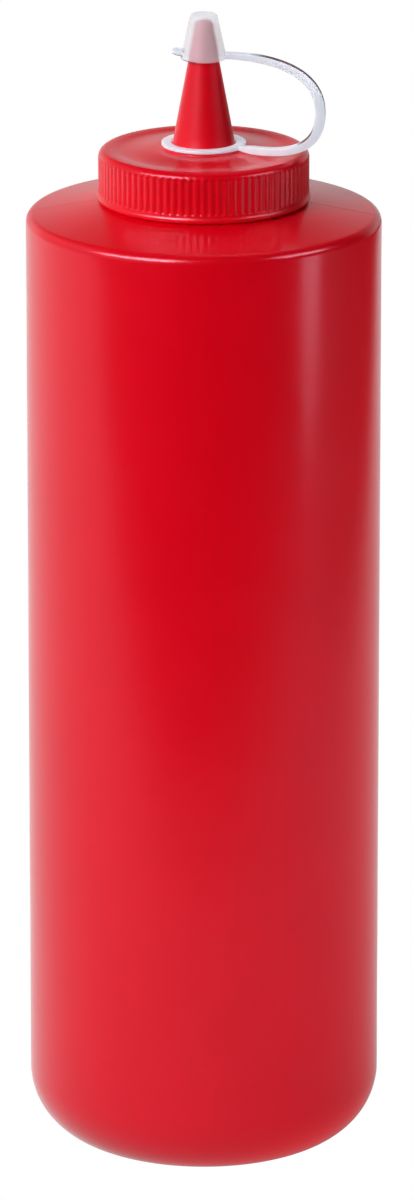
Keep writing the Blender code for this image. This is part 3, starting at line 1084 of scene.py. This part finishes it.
@dataclass
class Studio:
    """A plain pale floor that runs up into a pale wall, and soft light from all round."""

    floor_radius: float = 5.6
    wall_radius: float = 6.4
    wall_height: float = 4.0
    floor_drop: float = 0.00002
    table_drop: float = 0.0004
    table_box: tuple[float, float, float, float] = (-1.6, -0.45, 0.9, 1.6)
    near_bottle: tuple[float, float] = (0.04, 0.22)
    aim: tuple[float, float, float] = (0.0, 0.0, 0.17)
    room_level: float = 0.012
    lobes: tuple[RoomLobe, ...] = (
        RoomLobe("Y", (0.55, 0.85), (0.66, 0.12), (-0.25, -0.05), 0.62),
        RoomLobe("X", (-0.25, -0.80), (0.98, 0.60), (-0.25, -0.05), 0.55),
    )
    tables: tuple[TableLight, ...] = (
        TableLight(
            "table_gloss", 0.62, (-0.31, 0.20), (-0.36, -0.18), (0.45, 0.31), 1.0, SeenBy.MIRRORED
        ),
        TableLight(
            "table_fill", 1.04, (0.46, -0.06), (-0.36, -0.18), (0.88, 0.62), 0.62, SeenBy.SCATTERED
        ),
    )
    cards: tuple[UprightCard, ...] = (
        UprightCard(
            "right_strip", 69.5, 0.034, (0.046, 0.150, 0.150, 0.100), 2.7, (0.060, 0.118), SeenBy.MIRRORED
        ),
        UprightCard("right_card", 78, 0.08, (0.09, 0.19, 0.19, 0.09), 2.0, (0.0, 0.05), SeenBy.SCATTERED),
    )
    softboxes: tuple[Softbox, ...] = (
        Softbox("key_light", -36, 34, 1.0, (0.50, 0.16), 21.5, SeenBy.SCATTERED),
        Softbox("key_window", -36, 34, 1.0, (0.46, 0.32), 28.0, SeenBy.MIRRORED),
        Softbox("left_window", -63, 32, 1.0, (0.32, 0.22), 14.0, SeenBy.MIRRORED),
        Softbox("right_window", 69, 30, 1.0, (0.60, 0.34), 6.5, SeenBy.MIRRORED),
        Softbox("left_light", -75, 34, 1.2, (0.5, 0.3), 2.5, SeenBy.SCATTERED),
        Softbox("back_top", 165, 62, 1.4, (0.8, 0.6), 3.2, SeenBy.SCATTERED),
    )

    def show_to(self, obj: bpy.types.Object, seen_by: SeenBy) -> None:
        """Lets only the camera, only gloss or only scattered light meet a stage object."""
        obj.visible_camera = seen_by is SeenBy.CAMERA
        obj.visible_glossy = seen_by is SeenBy.MIRRORED
        obj.visible_diffuse = obj.visible_transmission = seen_by is SeenBy.SCATTERED
        obj.visible_shadow = False

    def cove(self) -> bpy.types.Object:
        """The floor and wall that the camera sees, one turned surface of evenly lit white acrylic."""
        bend = arc((self.floor_radius, self.wall_radius - self.floor_radius), 0.8, -90, 0, 12)
        top = (self.wall_radius, self.wall_height)
        profile = np.vstack(([(0.0, 0.0)], line((0.0, 0.0), bend[0], 6), bend, [top], [(0.0, top[1])]))
        profile[:, 1] -= self.floor_drop
        cove = capped_lathe("studio_cove", turned(profile, 96))
        material, output, _ = new_material("backlit_white_acrylic")
        settings = {"Base Color": linear("#000000"), "Roughness": 1.0, "Specular IOR Level": 0.0}
        settings |= {"Emission Color": linear("#FFFFFF"), "Emission Strength": 1.0}
        shader = add_node(material.node_tree, "ShaderNodeBsdfPrincipled", settings, {})
        material.node_tree.links.new(shader.outputs[0], output.inputs["Surface"])
        cove.data.materials.append(material)
        self.show_to(cove, SeenBy.CAMERA)
        return cove

    def glowing(self, name: str, corners: Array, seen_by: SeenBy) -> tuple[bpy.types.NodeTree, dict]:
        """Makes a flat stage object that glows.

        Args:
            name: The object's name.
            corners: Its four corners, anticlockwise from the side that it faces.
            seen_by: Which rays meet it.

        Returns:
            Its node tree, and the position's x, y and z sockets with the light's strength socket.
        """
        sheet = mesh_object(name, corners, [[0, 1, 2, 3]])
        material, output, place = new_material(f"{name}_light")
        tree = material.node_tree
        axes = add_node(tree, "ShaderNodeSeparateXYZ", {}, {0: place})
        glow = add_node(tree, "ShaderNodeEmission", {"Color": linear("#FFFFFF")}, {})
        tree.links.new(glow.outputs[0], output.inputs["Surface"])
        sheet.data.materials.append(material)
        self.show_to(sheet, seen_by)
        sockets = {axis: axes.outputs[axis] for axis in "XYZ"}
        return tree, sockets | {"place": place, "strength": glow.inputs["Strength"]}

    def faded(self, tree: bpy.types.NodeTree, level: Socket, *steps: tuple) -> Socket:
        """Multiplies a light's level by smooth steps, so that it fades where they fall.

        Args:
            tree: The node tree.
            level: The socket of the level.
            steps: For each step the socket whose value is stepped, the values at which it begins
                and ends, and what it begins at on its way to 1.

        Returns:
            The socket of the product.
        """
        for value, edge, bottom in steps:
            settings = {"interpolation_type": "SMOOTHSTEP", "To Min": bottom}
            settings |= {"From Min": edge[0], "From Max": edge[1]}
            step = add_node(tree, "ShaderNodeMapRange", settings, {"Value": value})
            product = {0: level, 1: step.outputs[0]}
            level = add_node(tree, "ShaderNodeMath", {"operation": "MULTIPLY"}, product).outputs[0]
        return level

    def table_light(self, spec: TableLight) -> None:
        """Lays a glowing sheet round the bottle.

        Its strength is the level plus the dot product of the direction from the bottle with the
        lean, and it ends softly a little way in front and on the right.

        Args:
            spec: The sheet's light.
        """
        left, front, right, back = self.table_box
        corners = np.array(((left, front, 0), (right, front, 0), (right, back, 0), (left, back, 0)), float)
        corners[:, 2] = -self.table_drop
        tree, sockets = self.glowing(spec.name, corners, spec.seen_by)
        way = add_node(tree, "ShaderNodeVectorMath", {"operation": "NORMALIZE"}, {0: sockets["place"]})
        arrow = {"operation": "DOT_PRODUCT", 1: (*spec.lean, 0.0)}
        lean = add_node(tree, "ShaderNodeVectorMath", arrow, {0: way.outputs[0]}).outputs["Value"]
        base = {"operation": "ADD", 1: spec.level}
        level = add_node(tree, "ShaderNodeMath", base, {0: lean}).outputs[0]
        away = add_node(tree, "ShaderNodeVectorMath", {"operation": "LENGTH"}, {0: sockets["place"]})
        near = (away.outputs["Value"], self.near_bottle, spec.near)
        ends = ((sockets["Y"], spec.front, 0.0), (sockets["X"], spec.right, 0.0))
        tree.links.new(self.faded(tree, level, near, *ends), sockets["strength"])

    def upright_card(self, spec: UprightCard) -> None:
        """Stands a glowing card up beside the bottle, square to the line between them."""
        azimuth = math.radians(spec.azimuth)
        middle = spec.distance * np.array((math.sin(azimuth), -math.cos(azimuth), 0.0))
        aside = spec.half_width * np.array((math.cos(azimuth), math.sin(azimuth), 0.0))
        corners = np.array((middle - aside, middle - aside, middle + aside, middle + aside))
        corners[:, 2] = spec.heights
        tree, sockets = self.glowing(spec.name, corners, spec.seen_by)
        level = add_node(tree, "ShaderNodeValue", {}, {}).outputs[0]
        level.default_value = spec.strength
        tree.links.new(self.faded(tree, level, (sockets["Z"], spec.fade, 0.0)), sockets["strength"])

    def surroundings(self) -> None:
        """The room's light by direction: a low level all round, and the lobes added to it."""
        world = bpy.data.worlds.new("studio_room")
        bpy.context.scene.world = world
        world.use_nodes = True
        tree = world.node_tree
        tree.nodes.clear()
        way = add_node(tree, "ShaderNodeTexCoord", {}, {})
        axes = add_node(tree, "ShaderNodeSeparateXYZ", {}, {0: way.outputs["Generated"]}).outputs
        total = add_node(tree, "ShaderNodeValue", {}, {}).outputs[0]
        total.default_value = self.room_level
        for lobe in self.lobes:
            level = add_node(tree, "ShaderNodeValue", {}, {}).outputs[0]
            level.default_value = lobe.strength
            heights = ((axes["Z"], lobe.below, 0.0), (axes["Z"], lobe.above, 0.0))
            side = (axes[lobe.side], lobe.across, 0.0)
            both = {0: total, 1: self.faded(tree, level, side, *heights)}
            total = add_node(tree, "ShaderNodeMath", {"operation": "ADD"}, both).outputs[0]
        white = {"Color": linear("#FFFFFF")}
        light = add_node(tree, "ShaderNodeBackground", white, {"Strength": total})
        add_node(tree, "ShaderNodeOutputWorld", {}, {"Surface": light.outputs[0]})

    def softbox(self, spec: Softbox) -> None:
        """Hangs a soft area light that faces the aim.

        Args:
            spec: The softbox. Its face of area A and radiance L gives A L pi watts.
        """
        a, e = math.radians(spec.azimuth), math.radians(spec.elevation)
        back = np.array((math.sin(a) * math.cos(e), -math.cos(a) * math.cos(e), math.sin(e)))
        lamp = bpy.data.lights.new(spec.name, "AREA")
        lamp.shape = "RECTANGLE"
        lamp.size, lamp.size_y = spec.size
        lamp.energy = spec.radiance * spec.size[0] * spec.size[1] * math.pi
        obj = bpy.data.objects.new(spec.name, lamp)
        bpy.context.scene.collection.objects.link(obj)
        obj.location = np.array(self.aim) + back * spec.distance
        obj.rotation_euler = (math.pi / 2 - e, 0.0, a)
        self.show_to(obj, spec.seen_by)

    def build(self) -> None:
        """Sets the stage and the lights, and shows colours as they are."""
        self.cove()
        for table in self.tables:
            self.table_light(table)
        for card in self.cards:
            self.upright_card(card)
        self.surroundings()
        for softbox in self.softboxes:
            self.softbox(softbox)
        scene = bpy.context.scene
        scene.view_settings.view_transform = "Standard"
        scene.view_settings.look = "None"
        LOG.info("studio: cove, room, %d tables", len(self.tables))
        LOG.info("studio: %d cards, %d softboxes", len(self.cards), len(self.softboxes))


@dataclass
class PhotoCamera:
    """The camera at the photograph's angle: 1.75 m away and 17 degrees above the horizon."""

    distance: float = 1.75
    pitch: float = 16.99
    aim_height: float = 0.11144
    offset: float = 0.00054
    focal_pixels: float = 8789.0
    image_height: float = 1200.0

    def build(self) -> bpy.types.Object:
        """Places the camera and makes it the scene's.

        Returns:
            The camera's object.
        """
        pitch = math.radians(self.pitch)
        data = bpy.data.cameras.new("photo_camera")
        data.sensor_width = 36.0
        data.lens = self.focal_pixels / self.image_height * data.sensor_width
        data.clip_start, data.clip_end = 0.05, 20.0
        camera = bpy.data.objects.new("photo_camera", data)
        bpy.context.scene.collection.objects.link(camera)
        height = self.aim_height + self.distance * math.sin(pitch)
        camera.location = (self.offset, -self.distance * math.cos(pitch), height)
        camera.rotation_euler = (math.pi / 2 - pitch, 0.0, 0.0)
        bpy.context.scene.camera = camera
        LOG.info("camera: %.1f mm lens, %.2f m away", data.lens, self.distance)
        return camera


def main() -> None:
    """Builds the bottle from the table up, then the studio and the camera."""
    logging.basicConfig(level=logging.INFO, format="%(name)s %(message)s")
    bottle = BottleBody("bottle_body", "bottle", "bottle_red")
    cap = ScrewCap("screw_cap_body", "screw_cap", "cap_red")
    tip = TipCap("tip_cap_moulding", "tip_cap", "tip_milky")
    bottle.build()
    cap.build(bottle)
    tip.build(cap)
    Studio().build()
    PhotoCamera().build()


if __name__ == "__main__":
    main()
